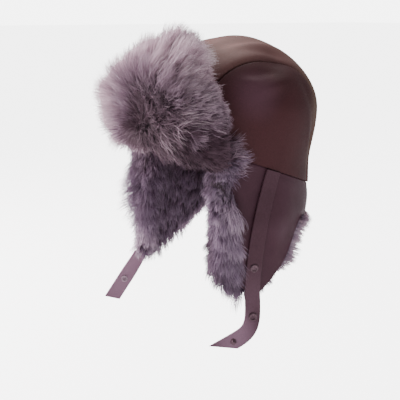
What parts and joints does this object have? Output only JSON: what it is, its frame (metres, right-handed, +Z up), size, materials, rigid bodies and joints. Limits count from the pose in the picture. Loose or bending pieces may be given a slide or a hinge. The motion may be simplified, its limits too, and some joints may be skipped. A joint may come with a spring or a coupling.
{
  "type": "sheepskin trapper hat",
  "caption": "Leather trapper hat lined with long fur: panelled crown, upturned fur front flap, hanging ear and neck flaps, loose chin straps with snaps.",
  "frame": {"origin": "middle of the head opening, at the height where the head band sits on a head", "axes": "+Z up through the crown, the wearer looks along -Y, +X is the wearer's left"},
  "size_m": [0.2383, 0.2586, 0.3626],
  "materials": {
    "crown_leather": "smooth nappa, soft sheen",
    "flap_leather": "smooth nappa, soft sheen",
    "strap_leather": "smooth nappa, soft sheen",
    "fur": "long loose wool",
    "snap_metal": "satin lacquer"
  },
  "bodies": {
    "root": {"crown_centre_strip": "crown_leather", "crown_side_left": "crown_leather", "crown_side_right": "crown_leather", "ear_and_neck_flap": "flap_leather", "ear_and_neck_fur": "fur", "front_flap": "crown_leather", "front_flap_fur": "fur", "chin_strap_left": "strap_leather", "chin_strap_right": "strap_leather", "left_flap_snap": "snap_metal", "left_snap_socket": "snap_metal", "left_snap_stud": "snap_metal", "right_flap_snap": "snap_metal", "right_snap_stud": "snap_metal", "right_snap_socket": "snap_metal"}
  },
  "joints": []
}
